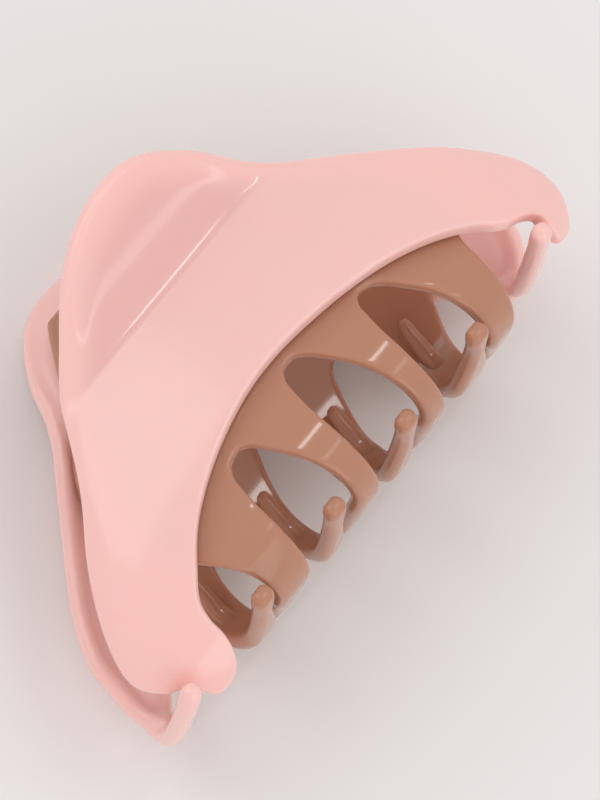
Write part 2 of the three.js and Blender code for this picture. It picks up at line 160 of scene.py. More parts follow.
def new_object(name, vertices, faces, turned=False):
    """A smooth mesh object from points in the clip's frame, placed in the row frame."""
    mesh = bpy.data.meshes.new(name)
    mesh.from_pydata([tuple(v) for v in vertices], [], faces)
    turn = HALF_TURN if turned else Matrix()
    mesh.transform(Matrix.Translation(CLIP_ORIGIN) @ turn @ Matrix.Scale(MM, 4))
    shade_smooth(mesh)
    mesh.update()
    piece = bpy.data.objects.new(name, mesh)
    bpy.context.scene.collection.objects.link(piece)
    tidy_normals(mesh)
    return piece


def tidy_normals(mesh):
    work = bmesh.new()
    work.from_mesh(mesh)
    bmesh.ops.recalc_face_normals(work, faces=work.faces)
    work.to_mesh(mesh)
    work.free()


def subdivide(piece):
    modifier = piece.modifiers.new("smooth", "SUBSURF")
    modifier.levels = SUBDIVISIONS
    modifier.render_levels = SUBDIVISIONS


def fused(piece):
    """Joins a piece's overlapping parts into one skin, by a fine remesh that is then smoothed."""
    remesh = piece.modifiers.new("fuse", "REMESH")
    remesh.mode = "VOXEL"
    remesh.voxel_size = FUSE_CELL * MM
    soften = piece.modifiers.new("soften", "SMOOTH")
    soften.factor = 0.5
    soften.iterations = FUSE_SMOOTHING
    seen = piece.evaluated_get(bpy.context.evaluated_depsgraph_get())
    mesh = bpy.data.meshes.new_from_object(seen)
    piece.modifiers.clear()
    piece.data = mesh
    shade_smooth(mesh)


def paint(piece, name, value_at):
    """Stores value_at(x, y, z), in the clip's frame, on each point, for the material to read."""
    mesh = piece.data
    to_clip = (Matrix.Translation(CLIP_ORIGIN) @ Matrix.Scale(MM, 4)).inverted()
    layer = mesh.attributes.new(name, "FLOAT", "POINT")
    for vertex, item in zip(mesh.vertices, layer.data):
        item.value = value_at(*(to_clip @ vertex.co))


def dress(piece, material, body, slot, *nodes):
    piece.data.materials.clear()
    piece.data.materials.append(material)
    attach(piece, body)
    if nodes:
        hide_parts(*nodes)


# ---- Outer surface of the front jaw ----
def belly_height(x, y):
    out = x / BELLY_HALF_SPAN
    twist = BELLY_TWIST * out**2 * (y - BELLY_TWIST_Y) / BELLY_TWIST_RUN
    side_fall = BELLY_SIDE * out**2 + BELLY_END * out**4 + twist
    return BELLY_CROWN - BELLY_ROLL * (y - BELLY_CROWN_Y) ** 2 - side_fall


def tab_height(x, y):
    up = max(0.0, y - TAB_FOOT_Y)
    return TAB_FOOT + TAB_SLOPE * up + TAB_CURL * up**2 - TAB_SIDE * x**2


def crown_height(x, y):
    return smooth_max(belly_height(x, y), tab_height(x, y), CREASE_WIDTH)


# ---- Sheets ----
# Sections of a free edge, from the outer face to the inner one: shares of its reach and of the thickness.
CRISP_EDGE = np.array([(0, 0), (0.7, 0.05), (1, 0.28), (1, 0.72), (0.7, 0.95), (0, 1)])
ROUND_EDGE = np.array([(0, 0), (0.52, 0.1), (0.92, 0.32), (0.92, 0.68), (0.52, 0.9), (0, 1)])


def sheet_mesh(outer, exists, thickness, edge_at):
    """Vertices and quads of a closed sheet, from its outer face's points outer[k][i], row 0 on top.

    Free edges are added round the grid: edge_at gives how far one reaches beyond it, and how round it is.
    """
    rows = len(outer) - 1
    columns = len(outer[0]) - 1
    outer = np.array(outer, float)
    along_x = np.empty_like(outer)
    along_y = np.empty_like(outer)
    along_x[:, 1:-1] = outer[:, 2:] - outer[:, :-2]
    along_x[:, 0] = outer[:, 1] - outer[:, 0]
    along_x[:, -1] = outer[:, -1] - outer[:, -2]
    along_y[1:-1] = outer[2:] - outer[:-2]
    along_y[0] = outer[1] - outer[0]
    along_y[-1] = outer[-1] - outer[-2]
    normal = np.cross(along_y, along_x)
    normal /= np.linalg.norm(normal, axis=2, keepdims=True)

    def here(k, i):
        return 0 <= k < rows and 0 <= i < columns and exists(k, i)

    free_edges = []
    away = {}
    for k in range(rows):
        for i in range(columns):
            if not here(k, i):
                continue
            corners = [(k, i), (k, i + 1), (k + 1, i + 1), (k + 1, i)]
            neighbours = [here(k - 1, i), here(k, i + 1), here(k + 1, i), here(k, i - 1)]
            for side, present in enumerate(neighbours):
                if present:
                    continue
                a, b = corners[side], corners[(side + 1) % 4]
                free_edges.append((a, b))
                along = outer[b] - outer[a]
                along /= np.linalg.norm(along)
                for corner in (a, b):
                    away[corner] = away.get(corner, 0) + np.cross(normal[corner], along)
    vertices = []
    index = {}

    def vertex(corner, layer):
        key = (corner, layer)
        if key not in index:
            index[key] = len(vertices)
            reach, roundness = edge_at(*corner)
            step, share = mix(CRISP_EDGE[layer], ROUND_EDGE[layer], roundness)
            direction = away.get(corner, np.zeros(3))
            direction = direction / max(np.linalg.norm(direction), 1e-9)
            depth = thickness(*corner) * share
            vertices.append(outer[corner] - normal[corner] * depth + direction * step * reach)
        return index[key]

    last = len(CRISP_EDGE) - 1
    faces = []
    for k in range(rows):
        for i in range(columns):
            if not here(k, i):
                continue
            corners = [(k, i), (k, i + 1), (k + 1, i + 1), (k + 1, i)]
            faces.append([vertex(corner, 0) for corner in reversed(corners)])
            faces.append([vertex(corner, last) for corner in corners])
    for a, b in free_edges:
        for layer in range(last):
            faces.append([vertex(a, layer), vertex(b, layer), vertex(b, layer + 1), vertex(a, layer + 1)])
    return vertices, faces


def ring_faces(rings, sides):
    """Quads between rings of points that follow one another, and a face over each end."""
    faces = []
    for r in range(rings - 1):
        for s in range(sides):
            a = r * sides + s
            b = r * sides + (s + 1) % sides
            faces.append([a, b, b + sides, a + sides])
    faces.append(list(range(sides)))
    faces.append(list(range((rings - 1) * sides, rings * sides)))
    return faces


LIMB_SQUARENESS = 0.75 # 1 is an oval section, and less is squarer
END_REACHES = (0.45, 0.8, 0.97) # shares of a rounded end's radius


def limb_mesh(stations, sides=12):
    """A limb of rounded section through stations (x, y, z, width, depth), with rounded ends."""
    centres = np.array([station[:3] for station in stations], float)
    count = len(stations)
    vertices = []

    def squarer(value):
        return math.copysign(abs(value) ** LIMB_SQUARENESS, value)

    def ring(centre, across, width, depth):
        for s in range(sides):
            angle = 2 * math.pi * s / sides
            side = squarer(math.cos(angle)) * width / 2
            rise = squarer(math.sin(angle)) * depth / 2
            vertices.append(centre + np.array([side, 0, 0]) + across * rise)

    def direction_at(n):
        step = centres[min(n + 1, count - 1)] - centres[max(n - 1, 0)]
        return step / np.linalg.norm(step)

    def across_at(n):
        across = np.cross(direction_at(n), (1, 0, 0))
        return across / np.linalg.norm(across)

    def round_end(n, sign, reaches):
        width, depth = stations[n][3:]
        radius = min(width, depth) / 2
        for reach in reaches:
            shrink = math.sqrt(1 - reach**2)
            centre = centres[n] + direction_at(n) * sign * reach * radius
            ring(centre, across_at(n), width * shrink, depth * shrink)

    round_end(0, -1, reversed(END_REACHES))
    for n, station in enumerate(stations):
        ring(centres[n], across_at(n), station[3], station[4])
    round_end(count - 1, 1, END_REACHES)
    return vertices, ring_faces(len(vertices) // sides, sides)


def merged(*parts):
    vertices = []
    faces = []
    for part_vertices, part_faces in parts:
        start = len(vertices)
        vertices += part_vertices
        faces += [[start + n for n in face] for face in part_faces]
    return vertices, faces


# ---- Outer shells ----
# The shells' lower edge, crease and upper edge, from left to right, in X and Y.
LOWER_MIDDLE = [
    (-38.9, -23.2), (-35.4, -19.8), (-30, -15.7), (-23.5, -12.5), (-16, -10.0), (-8, -8.4), (0, -8.1),
    (8, -9.0), (16, -10.5), (23.5, -12.7), (30, -15.5), (35.8, -19.1), (39.4, -22.6),
]
CREASE_MIDDLE = [
    (-45.0, -14.2), (-40.0, -6.5), (-34.0, 0.6), (-29.0, 6.6), (-23.5, 11.0), (-11, 11.3), (0, 11.3),
    (10.5, 11.3), (20.5, 11.3), (27.6, 6.4), (34.5, -0.3), (41.5, -7.6), (46.0, -14.4),
]
UPPER_MIDDLE = [
    (-51.0, -14.4), (-45.0, -6.6), (-37.2, 1.0), (-29.9, 9.2), (-22.0, 16.7), (-11.6, 24.3), (-1.6, 28.1),
    (9.2, 28.1), (17.8, 22.2), (23.8, 14.0), (35.2, 3.5), (44.8, -5.8), (50.4, -13.4),
]
# The same three lines where the arms end, on the left and on the right.
FRONT_ARMS = {
    "lower": ([(-43.6, -34.5), (-41.8, -34.0), (-40.6, -32.4), (-40.0, -29.6), (-40.0, -26.6)],
              [(43.0, -24.3), (45.1, -26.4), (44.8, -29.0), (45.0, -31.0)]),
    "crease": ([(-45.2, -34.2), (-45.2, -33.0), (-45.6, -30.8), (-46.6, -28.0), (-47.6, -22.8)],
               [(48.0, -18.5), (49.0, -23.5), (48.6, -27.6), (47.0, -31.1)]),
    "upper": ([(-46.8, -33.6), (-48.3, -31.5), (-50.0, -29.1), (-52.8, -27.0), (-54.4, -22.0)],
              [(52.6, -17.6), (53.2, -21.8), (52.1, -26.6), (49.4, -30.4)]),
}
BACK_ARMS = {
    "lower": ([(-41.0, -29.0), (-39.8, -27.6), (-39.6, -25.4)],
              [(42.6, -25.6), (46.4, -28.8), (49.4, -31.6)]),
    "crease": ([(-43.4, -29.0), (-45.2, -26.4), (-46.0, -20.8)],
               [(48.2, -20.4), (50.2, -26.0), (51.0, -31.4)]),
    "upper": ([(-45.6, -28.6), (-49.6, -25.2), (-51.9, -20.4)],
              [(52.0, -18.8), (53.2, -25.2), (52.6, -31.0)]),
}
# Stations of the back shell's hooks, as for limb_mesh.
RIGHT_HOOK = [
    (50.4, -26.0, 10.6, 3.6, 2.2), (50.8, -29.2, 9.4, 4.6, 3.2), (51.4, -31.2, 6.4, 4.6, 3.4),
    (51.8, -31.8, 2.0, 4.2, 3.4), (51.8, -31.8, -4.0, 3.8, 3.4), (51.3, -31.6, -11.0, 3.6, 3.3),
    (50.6, -31.0, -16.2, 3.8, 3.6),
]
LEFT_HOOK = [
    (-43.3, -25.2, 15.0, 3.2, 1.6), (-43.2, -27.6, 13.8, 4.2, 2.6), (-42.9, -29.1, 10.6, 4.6, 3.4),
    (-42.5, -29.2, 4.0, 4.3, 3.4), (-42.3, -28.9, -4.0, 3.8, 3.4), (-42.4, -28.6, -11.0, 3.6, 3.3),
    (-42.6, -28.0, -16.2, 3.8, 3.6),
]

SHELL_COLUMNS = 100
# Shares of the way from the lower edge to the crease, and from the crease to the upper edge.
BELLY_ROWS = [0, 0.07, 0.15, 0.24, 0.34, 0.44, 0.54, 0.64, 0.74, 0.83, 0.9, 0.95, 0.975, 1]
TAB_ROWS = [0.015, 0.035, 0.07, 0.13, 0.21, 0.3, 0.4, 0.5, 0.6, 0.69, 0.77, 0.84, 0.91, 1]

BEAD_EDGE = 1.0 # reach of the rounded edges
BEAD_ROUNDNESS = 0.6
ARCH_EDGE = 0.5
LEFT_ARM_CURL = (-24, 12) # Y where the curl starts, and its radius
RIGHT_ARM_CURL = (-23, 9)
CURL_LIMIT = 0.95 # share of its radius that a curl can run
EDGE_SAMPLES = 600
RIM_START = 4 # the tab's rim grows from this tab length on, over the next length
RIM_GROWTH = 8
SHELL_END_MARGIN = 0.006 # share of the shell's length that its rounded ends take


def shortened(start, end, margin):
    """The point a margin before end, on the way from start, but no nearer start than a third of the way."""
    length = np.linalg.norm(end - start)
    return mix(start, end, max(1 - margin / length, 1 / 3))


def shell_sheet(arms):
    lower_line, crease_line, upper_line = (
        curve_through([*arms[key][0], *middle, *arms[key][1]])
        for key, middle in (("lower", LOWER_MIDDLE), ("crease", CREASE_MIDDLE), ("upper", UPPER_MIDDLE))
    )
    edge_table = edge_points(arms)
    rows = []
    for share in reversed([*BELLY_ROWS, *(1 + tab for tab in TAB_ROWS)]):
        row = []
        for i in range(SHELL_COLUMNS + 1):
            fraction = mix(SHELL_END_MARGIN, 1 - SHELL_END_MARGIN, i / SHELL_COLUMNS)
            lower, crease, upper = lower_line(fraction), crease_line(fraction), upper_line(fraction)
            if share <= 1:
                place = mix(crease, shortened(crease, lower, ARCH_EDGE), 1 - share)
            else:
                place = mix(crease, shortened(crease, upper, BEAD_EDGE), share - 1)
            row.append(shell_point(place, np.linalg.norm(upper - crease), edge_table))
        rows.append(row)
    # The upper edge is a round bead, and the arch over the comb is a crisp one.
    at_end = lambda i: i in (0, SHELL_COLUMNS)
    bead, arch = (BEAD_EDGE, BEAD_ROUNDNESS), (ARCH_EDGE, 0)
    edge_at = lambda k, i: bead if k < len(TAB_ROWS) or at_end(i) else arch
    return sheet_mesh(rows, lambda k, i: True, lambda k, i: SHELL_THICKNESS, edge_at)


# How softly the painted masks end, in millimetres: the pink painted lighter, as light shining through the
# shell where no comb lies behind it, and the painted shade in the thumb tab's dish and, less, on its
# crease.
LINING_SIDE_FADE = 5
LINING_TOP_FADE = 3
LINING_ARCH_Y = -26
LINING_ARCH_FADE = 4
DISH_INSET = 2.6
DISH_FADE = 4
CREASE_FADE = 0.5
# The crease itself gets this share of the dish's painted shade.
CREASE_SHARE = 0.3 # how much of the dish's tint there is on the crease itself


def over_lining(x, y, z):
    """1 where a shell lies on its comb, 0 where nothing is behind it, where the pink is painted lighter as
    light shining through the thin shell.
    """
    inside = (lining_half_width(y) - abs(x)) / LINING_SIDE_FADE + 0.5
    below_top = (COMB_TOP_Y - y) / LINING_TOP_FADE
    above_arch = (y - LINING_ARCH_Y) / LINING_ARCH_FADE
    return smooth(min(inside, below_top, above_arch))


def distance_to(points, place):
    return np.sqrt(((points - place) ** 2).sum(axis=1).min())


def dish_shade_mask(edge_table):
    """A mask of painted shade in the thumb tab's dish: 1 in it, 0 on its rim and below the crease."""

    def at(x, y, z):
        side = math.copysign(1, z)
        inside = smooth((distance_to(edge_table, (x * side, y)) - DISH_INSET) / DISH_FADE)
        return inside * smooth((y - TAB_FOOT_Y) / CREASE_FADE + CREASE_SHARE)

    return at


def edge_points(arms):
    """Points close together along a shell's upper edge."""
    upper_line = curve_through([*arms["upper"][0], *UPPER_MIDDLE, *arms["upper"][1]])
    return np.array([upper_line(n / EDGE_SAMPLES) for n in range(EDGE_SAMPLES + 1)])


def end_drop(x, y):
    """How far the arms curl inwards at their ends, round a circle whose top is at the curl's start."""
    start, radius = LEFT_ARM_CURL if x < 0 else RIGHT_ARM_CURL
    beyond = min(max(0, start - y), CURL_LIMIT * radius)
    return radius - math.sqrt(radius**2 - beyond**2)


def shell_point(place, tab_length, edge_table):
    edge_distance = distance_to(edge_table, place)
    in_tab = smooth((tab_length - RIM_START) / RIM_GROWTH)
    rim = in_tab * RIM_HEIGHT * smooth(1 - edge_distance / RIM_WIDTH)
    roll = ROLL_DEPTH * clamp01(1 - edge_distance / ROLL_WIDTH) ** 2
    return [place[0], place[1], crown_height(*place) + rim - roll - end_drop(*place)]


# ---- Combs ----
TOOTH_COUNT = 4
CELLS_PER_TOOTH = 7
COMB_COLUMNS = TOOTH_COUNT * (CELLS_PER_TOOTH + 1)
# X and Y of the top of the gap on the left of each tooth.
GAP_TOPS = [(-36.4, -18.0), (-17.0, -13.2), (0.3, -10.2), (17.4, -12.1)]
COMB_TOP_Y = 24.8
COMB_END_X = 35.2
COMB_END_TAPER = 2.6
COMB_END_TOP_Y = -17
# Y and half the lining's width there.
LINING_HALF_WIDTHS = [(24.8, 9.5), (18, 16), (12, 21.5), (6, 28), (-2, 33), (-10, 35.5), (-20, 36.2)]
# Rows of the comb: shares of the way from the gaps' tops to its top edge, then shares of the way down
# the gaps, then degrees round the curl, then the tips' reach.
LINING_ROWS = [
    1, 0.93, 0.86, 0.8, 0.74, 0.7, 0.66, 0.63, 0.6, 0.56, 0.52, 0.44, 0.36, 0.27, 0.18, 0.11, 0.06,
]
GAP_DEPTHS = [0, 0.05, 0.11, 0.18, 0.27, 0.38, 0.52, 0.68, 0.84, 1]
CURL_ANGLES = [10, 20, 30, 40, 50, 60, 70, 80, 90]
SHANK_REACHES = [1, -3, -7, -10.5, -13.5, -15.2, -TIP_REACH + 1]
NECK_HALF_WIDTH = 1.65 # a tooth is narrowest just above its round tip
COMB_ROWS = len(LINING_ROWS) + len(GAP_DEPTHS) + len(CURL_ANGLES) + len(SHANK_REACHES) - 1

GAP_START = 0.8 # how far above its top a gap's sides would meet
GAP_LEFT_SPREAD = 4.1
GAP_LEFT_RUN = 3.2
GAP_LEFT_RETURN = 0.003
GAP_LEFT_RETURN_RUN = 8
GAP_RIGHT_SPREAD = 9.6
GAP_RIGHT_RUN = 8.2
NOSE_BULGE = 0.35
NOSE_BULGE_AT = 1.6
NOSE_BULGE_WIDTH = 1.5
NOSE_PINCH = 0.25
NOSE_PINCH_WIDTH = 0.6
FIRST_COLUMN_REACH = 2 # the lining runs on this far past the first tooth's left edge
EVEN_SHARE = 0.25 # above this share of the lining its columns are evenly spread
SHELL_SLOPE_STEP = 0.2

# Counts of rows over which a tooth changes on its way to its tip.
TIP_LEAD, TIP_ROWS = 1, 4
BULB_LAG, BULB_ROWS = 3, 2
THICKENING_LEAD, THICKENING_ROWS = 4, 10
ROUNDING_LEAD, ROUNDING_ROWS = 6, 7

# Reach and roundness of the comb's edges.
LINING_EDGE = (0.7, 0.3)
SHANK_EDGE = (1.2, 1)

# Stations of a finger: X from its own centre, Y, Z from the inner face, width and depth.
FINGER_STATIONS = [
    (0, -28.4, -2.7, 3.2, 2.0), (0, -26, -1.9, 3.4, 2.2), (0, -24, -1.8, 3.3, 2.2),
    (-0.4, -21.5, -2.5, 2.9, 2.1), (-0.9, -18.4, -3.6, 2.4, 2.0),
]
FINGER_ASIDE = 0.3
FINGER_FACE_Y = -22


def tooth_centre(tooth):
    return FIRST_TOOTH_X - (TOOTH_COUNT - 1 - tooth) * TOOTH_PITCH


def lining_half_width(y):
    levels = [level for level, _ in reversed(LINING_HALF_WIDTHS)]
    widths = [width for _, width in reversed(LINING_HALF_WIDTHS)]
    return float(np.interp(y, levels, widths))


def comb_height(x, y):
    step = SHELL_SLOPE_STEP
    slope_x = (crown_height(x + step, y) - crown_height(x - step, y)) / (2 * step)
    slope_y = (crown_height(x, y + step) - crown_height(x, y - step)) / (2 * step)
    return crown_height(x, y) - (SHELL_THICKNESS + LAYER_GAP) * math.hypot(1, slope_x, slope_y)


def curl_point(x, angle_degrees):
    angle = math.radians(angle_degrees)
    top = comb_height(x, CURL_TOP_Y)
    return CURL_TOP_Y - CURL_RADIUS * math.sin(angle), top - CURL_RADIUS * (1 - math.cos(angle))


def shank_point(x, reach):
    bottom_y, bottom_z = curl_point(x, 90)
    share = clamp01((bottom_z - reach) / (bottom_z + TIP_REACH))
    return bottom_y + TIP_SWEEP * share**2, reach


def gap_top_y(x):
    xs = [gap[0] for gap in GAP_TOPS] + [COMB_END_X]
    ys = [gap[1] for gap in GAP_TOPS] + [COMB_END_TOP_Y]
    return float(np.interp(x, xs, ys))


def nose(run):
    """What rounds off a gap's top: its sides start nearer together, then spread fast."""
    bulge = NOSE_BULGE * math.exp(-(((run - NOSE_BULGE_AT) / NOSE_BULGE_WIDTH) ** 2))
    return bulge - NOSE_PINCH * math.exp(-((run / NOSE_PINCH_WIDTH) ** 2))


def gap_left(run):
    """How far a gap's left side stands from its top, at a run down the sheet from the top."""
    spread = GAP_LEFT_SPREAD * (1 - math.exp(-(run + GAP_START) / GAP_LEFT_RUN))
    return spread - GAP_LEFT_RETURN * max(0, run - GAP_LEFT_RETURN_RUN) ** 2 + nose(run)


def gap_right(run):
    """How far a gap's right side, which is the next tooth's left edge, stands from the gap's top."""
    return GAP_RIGHT_SPREAD * (1 - math.exp(-(run + GAP_START) / GAP_RIGHT_RUN)) + nose(run)


def tooth_edges(depth, curl_angle, tip_share, tip_half_width):
    """Left and right edges of the teeth at one row, by its depth in the gaps and angle round the curl."""
    curl_run = CURL_RADIUS * math.radians(curl_angle)
    runs = [depth * (top_y - CURL_TOP_Y) + curl_run for _, top_y in GAP_TOPS]
    edges = []
    for tooth in range(TOOTH_COUNT):
        tip = tooth_centre(tooth) + TOOTH_LEAN
        left = GAP_TOPS[tooth][0] + gap_right(runs[tooth])
        if tooth + 1 == TOOTH_COUNT:
            right = COMB_END_X - COMB_END_TAPER * (depth + curl_angle / 90) / 2
        else:
            right = GAP_TOPS[tooth + 1][0] - gap_left(runs[tooth + 1])
        left = mix(left, tip - tip_half_width, tip_share)
        right = mix(right, tip + tip_half_width, tip_share)
        edges.append((left, right))
    return edges


def comb_point(k, i):
    tooth = max(0, (i - 1) // (CELLS_PER_TOOTH + 1))
    lane = i - 1 - tooth * (CELLS_PER_TOOTH + 1)
    gap_row = k - len(LINING_ROWS)
    curl_row = gap_row - len(GAP_DEPTHS)
    shank_row = curl_row - len(CURL_ANGLES)
    depth = GAP_DEPTHS[min(max(gap_row, 0), len(GAP_DEPTHS) - 1)]
    curl_angle = CURL_ANGLES[min(curl_row, len(CURL_ANGLES) - 1)] if curl_row >= 0 else 0
    tip_share = smooth((shank_row + TIP_LEAD) / TIP_ROWS)
    bulb = smooth((shank_row - BULB_LAG) / BULB_ROWS)
    edges = tooth_edges(depth, curl_angle, tip_share, mix(NECK_HALF_WIDTH, TIP_HALF_WIDTH, bulb))
    reach = comb_edge(k, i)[0]
    left, right = edges[tooth]
    x = left - FIRST_COLUMN_REACH if i == 0 else mix(left + reach, right - reach, lane / CELLS_PER_TOOTH)
    top = gap_top_y(x) + reach
    if gap_row < 0:
        share = LINING_ROWS[k]
        y = mix(top, COMB_TOP_Y - reach, share)
        even_x = mix(-1, 1, i / COMB_COLUMNS) * (lining_half_width(y) - reach)
        lining_x = mix(x, even_x, smooth(share / EVEN_SHARE))
        return [lining_x, y, comb_height(lining_x, y)]
    if curl_row < 0:
        y = mix(top, CURL_TOP_Y, depth)
        return [x, y, comb_height(x, y)]
    y, z = curl_point(x, curl_angle) if shank_row < 0 else shank_point(x, SHANK_REACHES[shank_row])
    return [x, y, z]


def comb_thickness(k, i):
    along = clamp01((k - len(LINING_ROWS) - len(GAP_DEPTHS) + THICKENING_LEAD) / THICKENING_ROWS)
    return mix(COMB_THICKNESS, TOOTH_THICKNESS, along)


def comb_edge(k, i):
    """The edges of the lining and gaps are softly rounded, and those of the shanks are fully round."""
    shank_row = k - (COMB_ROWS + 1 - len(SHANK_REACHES))
    share = smooth((shank_row + ROUNDING_LEAD) / ROUNDING_ROWS)
    return tuple(mix(lining, shank, share) for lining, shank in zip(LINING_EDGE, SHANK_EDGE))


def comb_sheet():
    rows = [[comb_point(k, i) for i in range(COMB_COLUMNS + 1)] for k in range(COMB_ROWS + 1)]
    has_cell = lambda k, i: i % (CELLS_PER_TOOTH + 1) != 0 or k < len(LINING_ROWS)
    return sheet_mesh(rows, has_cell, comb_thickness, comb_edge)


def finger(tooth):
    """The short finger on a tooth's inner face, which points towards the hinge."""
    x = tooth_centre(tooth) - FINGER_ASIDE
    face = comb_height(x, FINGER_FACE_Y) - COMB_THICKNESS
    return limb_mesh([(x + dx, y, face + dz, width, depth) for dx, y, dz, width, depth in FINGER_STATIONS])


def lug(from_x, segments=48):
    """A hinge lug: a bored plate across X that hangs from the comb's inner face."""
    half_base = LUG_BASE_WIDTH / 2
    vertices = []
    for n in range(segments):
        angle = 2 * math.pi * n / segments
        across, rise = math.cos(angle), math.sin(angle)
        reach = LUG_RADIUS
        if rise > 0:
            # The side runs straight from the round end up to the wide base.
            spread = (half_base - LUG_RADIUS) / LUG_TOP
            to_side = LUG_RADIUS / max(abs(across) - spread * rise, 1e-6)
            reach = min(to_side, LUG_TOP / rise)
        for x in (from_x, from_x + LUG_THICKNESS):
            for radius in (BORE_RADIUS, reach):
                vertices.append(np.array([x, HINGE_Y + radius * across, radius * rise]))
    faces = []
    for n in range(segments):
        a = 4 * n
        b = 4 * ((n + 1) % segments)
        faces += [[a, a + 1, b + 1, b], [a + 2, b + 2, b + 3, a + 3]]
        faces += [[a, b, b + 2, a + 2], [a + 1, a + 3, b + 3, b + 1]]
    return vertices, faces


# ---- Pin and spring ----
def lathe_mesh(profile, segments=40):
    """A solid of revolution about the hinge axis, from (radius, x) points. Its ends are closed."""
    vertices = []
    for radius, x in profile:
        for s in range(segments):
            angle = 2 * math.pi * s / segments
            vertices.append(np.array([x, HINGE_Y + radius * math.cos(angle), radius * math.sin(angle)]))
    return vertices, ring_faces(len(profile), segments)


def pin_mesh():
    half = LUG_OUTER_X + LUG_THICKNESS + PIN_PLAY
    end = half + PIN_HEAD_LENGTH
    domed = [(PIN_HEAD_RADIUS * r, end - PIN_HEAD_LENGTH * d) for r, d in PIN_DOME]
    right = [*domed, (PIN_HEAD_RADIUS, half), (PIN_RADIUS, half), (PIN_RADIUS, 0)]
    left = [(radius, -x) for radius, x in reversed(right[:-1])]
    return lathe_mesh([*right, *left])


def tube_mesh(path, radius, sides=12):
    """A round wire along a path of points, with closed ends."""
    path = np.array(path, float)
    vertices = []
    for n, centre in enumerate(path):
        ahead = path[min(n + 1, len(path) - 1)] - path[max(n - 1, 0)]
        ahead /= np.linalg.norm(ahead)
        side = np.cross(ahead, (1, 0, 0))
        side /= np.linalg.norm(side)
        other = np.cross(ahead, side)
        for s in range(sides):
            angle = 2 * math.pi * s / sides
            vertices.append(centre + radius * (math.cos(angle) * side + math.sin(angle) * other))
    return vertices, ring_faces(len(path), sides)


def spring_point(angle):
    """A point of the coil, by its angle round the hinge axis from the start of the back leg."""
    total = coil_angle()
    pitch = SPRING_WIRE + SPRING_TURN_GAP
    x = (angle / total - 0.5) * pitch * total / (2 * math.pi)
    turn = math.pi / 2 - SPRING_LEG_ANGLE + angle
    return np.array([x, HINGE_Y + SPRING_RADIUS * math.cos(turn), SPRING_RADIUS * math.sin(turn)]), turn


def coil_angle():
    return 2 * math.pi * SPRING_TURNS + 2 * SPRING_LEG_ANGLE - math.pi


def leg_path(at_end):
    """The straight leg at one end of the coil, from the coil outwards."""
    start, turn = spring_point(coil_angle() if at_end else 0)
    sign = 1 if at_end else -1
    direction = np.array([0, -sign * math.sin(turn), sign * math.cos(turn)])
    return [start + direction * SPRING_LEG_LENGTH * share for share in (0, 0.25, 0.5, 0.75, 1)]


def coil_path():
    steps = COIL_STEPS_PER_TURN * SPRING_TURNS
    return [spring_point(coil_angle() * n / steps)[0] for n in range(steps + 1)]


# ---- Materials ----
PLASTIC_IOR = 1.5
COAT_ROUGHNESS = 0.05
STEEL_GREY = (0.6, 0.6, 0.59)
# Painted light: the pink is lighter where light shines through the shell with no comb behind it.
PINK_LIT_THROUGH = (0.98, 0.575, 0.535)
PINK_LINED = (0.935, 0.57, 0.53)
# Painted shade: the pink is darker in the thumb tab's dish.
PINK_DISH_SHADE = (0.87, 0.49, 0.46)
WARM_BROWN = (0.485, 0.225, 0.137)


def plastic(name, colour, roughness, subsurface, radius, coat):
    """A glossy plastic that light enters a little, by radius millimetres of red, green and blue."""
    material = bpy.data.materials.new(name)
    material.use_nodes = True
    shader = material.node_tree.nodes["Principled BSDF"]
    shader.inputs["Base Color"].default_value = (*colour, 1)
    shader.inputs["Roughness"].default_value = roughness
    shader.inputs["IOR"].default_value = PLASTIC_IOR
    shader.inputs["Subsurface Weight"].default_value = subsurface
    shader.inputs["Subsurface Radius"].default_value = radius
    shader.inputs["Subsurface Scale"].default_value = MM
    shader.inputs["Coat Weight"].default_value = coat
    shader.inputs["Coat Roughness"].default_value = COAT_ROUGHNESS
    return material


def tinted(material, plain, tints):
    """Colours a plastic by the masks painted on it: tints lists (mask, colour), each laid over the last."""
    tree = material.node_tree
    socket = None
    for mask, colour in tints:
        reader = tree.nodes.new("ShaderNodeAttribute")
        reader.attribute_name = mask
        blend = tree.nodes.new("ShaderNodeMix")
        blend.data_type = "RGBA"
        if socket:
            tree.links.new(socket, blend.inputs["A"])
        else:
            blend.inputs["A"].default_value = (*plain, 1)
        blend.inputs["B"].default_value = (*colour, 1)
        tree.links.new(reader.outputs["Fac"], blend.inputs["Factor"])
        socket = blend.outputs["Result"]
    tree.links.new(socket, tree.nodes["Principled BSDF"].inputs["Base Color"])


def steel(name, roughness):
    material = bpy.data.materials.new(name)
    material.use_nodes = True
    shader = material.node_tree.nodes["Principled BSDF"]
    shader.inputs["Base Color"].default_value = (*STEEL_GREY, 1)
    shader.inputs["Metallic"].default_value = 1
    shader.inputs["Roughness"].default_value = roughness
    return material


pink = plastic(
    "blush_pink_plastic", PINK_LINED, roughness=0.14, subsurface=0.35, radius=(3.0, 1.2, 1.0), coat=0.3
)
# Painted light: lighter pink where no comb lies behind the shell, as light shining through it.
# Painted shade: darker pink in the thumb tab's dish.
tinted(pink, PINK_LIT_THROUGH, [("lining", PINK_LINED), ("dish", PINK_DISH_SHADE)])
brown = plastic(
    "warm_brown_plastic", WARM_BROWN, roughness=0.13, subsurface=0.25, radius=(2.0, 0.8, 0.5), coat=0.15
)
wire_steel = steel("spring_wire", roughness=0.28)
pin_steel = steel("pin_steel", roughness=0.22)

# ---- Build ----
SHELL_PARTS = {
    "front_jaw": ("front", FRONT_ARMS, [], False),
    "back_jaw": ("back", BACK_ARMS, [RIGHT_HOOK, LEFT_HOOK], True),
}


